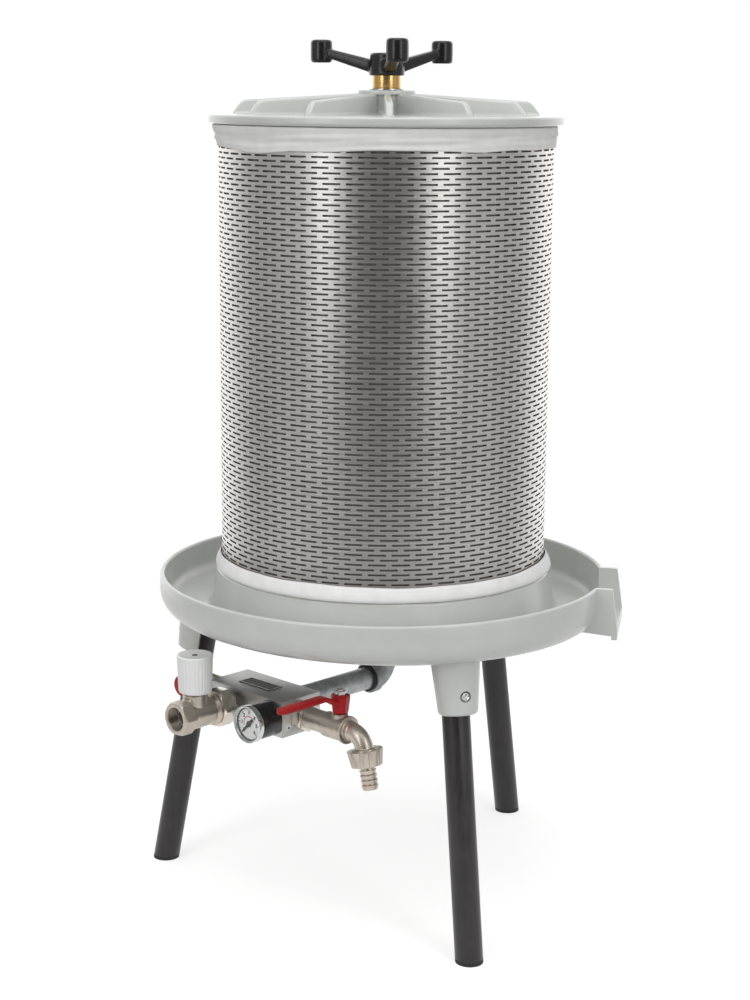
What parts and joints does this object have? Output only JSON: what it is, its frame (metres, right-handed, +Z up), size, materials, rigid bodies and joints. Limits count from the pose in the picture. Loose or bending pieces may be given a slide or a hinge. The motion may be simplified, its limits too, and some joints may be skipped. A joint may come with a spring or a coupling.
{
  "type": "hydraulic fruit press",
  "caption": "Upright water-powered fruit press: slotted steel basket with press bag on a cast juice tray with legs, ribbed lid, star handle, and water valves with a gauge below.",
  "frame": {"origin": "on the floor under the press axis, at the centre of the base", "axes": "+Z up along the press axis, +X out of the juice spout"},
  "size_m": [0.5082, 0.4806, 0.8901],
  "materials": {
    "cast_grey": "grey powder coat on cast aluminium",
    "leg_paint": "anthracite powder coat",
    "black_plastic": "semi-gloss black moulding",
    "rubber": "matt black rubber",
    "stainless": "rolled stainless sheet",
    "zinc": "zinc plated steel",
    "nickel": "nickel plated brass",
    "brass": "turned brass",
    "cloth": "white filter cloth",
    "block_alu": "satin aluminium",
    "pipe_grey": "galvanised pipe",
    "red_lever": "red coated steel",
    "red_plastic": "red moulding",
    "white_plastic": "white moulding",
    "ptfe": "white seat ring",
    "dial": "white dial with plain numbers",
    "bezel": "bright bezel ring",
    "glass": "clear window",
    "label": "bare plate"
  },
  "bodies": {
    "stand": {"juice_tray": "cast_grey", "leg_front": "leg_paint", "leg_rear": "leg_paint", "leg_left": "leg_paint", "foot_cap_front": "rubber", "foot_cap_rear": "rubber", "foot_cap_left": "rubber", "leg_screws": "zinc", "spindle": "stainless", "core_cap": "zinc", "core_tube": "stainless", "core_flange": "zinc", "base_gasket": "rubber", "lock_nut": "zinc", "membrane": "rubber", "membrane_clamp_lower": "stainless", "membrane_clamp_upper": "stainless", "feed_elbow": "pipe_grey", "elbow_gasket": "rubber", "feed_pipe": "pipe_grey", "water_block": "block_alu", "label_plate": "label", "block_screws": "zinc", "gauge_socket": "brass", "bourdon_tube": "brass", "gauge_case": "black_plastic", "gauge_dial": "dial", "gauge_bezel": "bezel", "gauge_glass": "glass", "overflow_nipple": "nickel", "union_nut": "nickel", "overflow_body": "nickel", "overflow_spring": "stainless", "overflow_bonnet": "nickel", "tap_nipple": "nickel", "tap_body": "nickel", "tap_seats": "ptfe", "hose_washer": "rubber", "hose_nut": "nickel", "hose_tail": "nickel", "inlet_nipple": "nickel", "inlet_body": "nickel", "inlet_seats": "ptfe"},
    "basket": {"basket": "stainless", "press_bag": "cloth"},
    "lid": {"lid": "cast_grey"},
    "washer": {"thrust_washer": "zinc"},
    "handle": {"star_handle": "black_plastic", "handle_nut": "brass"},
    "drain_lever": {"tap_lever": "red_lever", "tap_lever_nut": "zinc", "tap_stem": "nickel", "tap_ball": "bezel"},
    "inlet_lever": {"inlet_handle": "red_plastic", "inlet_stem": "nickel", "inlet_ball": "bezel"},
    "knob": {"overflow_knob": "white_plastic", "overflow_screw": "brass"},
    "disc": {"overflow_disc": "brass"},
    "needle": {"gauge_needle": "black_plastic"}
  },
  "joints": [
    {"name": "basket_lift", "type": "slide", "parent": "stand", "child": "basket", "axis": [0, 0, 1], "range_m": [0, 0.53]},
    {"name": "lid_lift", "type": "slide", "parent": "basket", "child": "lid", "axis": [0, 0, 1], "range_m": [0, 0.1]},
    {"name": "handle_rise", "type": "slide", "parent": "lid", "child": "washer", "axis": [0, 0, 1], "range_m": [0, 0.01251]},
    {"name": "handle_turn", "type": "hinge", "parent": "washer", "child": "handle", "pos_m": [0, 0, 0.856], "axis": [0, 0, 1], "range_deg": [0, 1800]},
    {"name": "drain_turn", "type": "hinge", "parent": "stand", "child": "drain_lever", "pos_m": [-0.01148, -0.17439, 0.252], "axis": [0, 0, 1], "range_deg": [0, 90]},
    {"name": "inlet_turn", "type": "hinge", "parent": "stand", "child": "inlet_lever", "pos_m": [-0.18682, -0.08025, 0.222], "axis": [-0.5592, -0.829, 0], "range_deg": [0, 90]},
    {"name": "knob_turn", "type": "hinge", "parent": "stand", "child": "knob", "pos_m": [-0.1634, -0.15998, 0.262], "axis": [0, 0, 1], "range_deg": [-180, 180]},
    {"name": "disc_lift", "type": "slide", "parent": "stand", "child": "disc", "axis": [0, 0, 1], "range_m": [0, 0.003], "stiffness_N_per_m": 500, "springref_m": -0.004, "deforming": ["overflow_spring"]},
    {"name": "needle_turn", "type": "hinge", "parent": "stand", "child": "needle", "pos_m": [-0.10235, -0.18125, 0.222], "axis": [0.5592, 0.829, 0], "range_deg": [0, 270]}
  ],
  "couplings": [
    {"joint": "handle_rise", "follows": "handle_turn", "m_per_rad": 0.00039789}
  ]
}
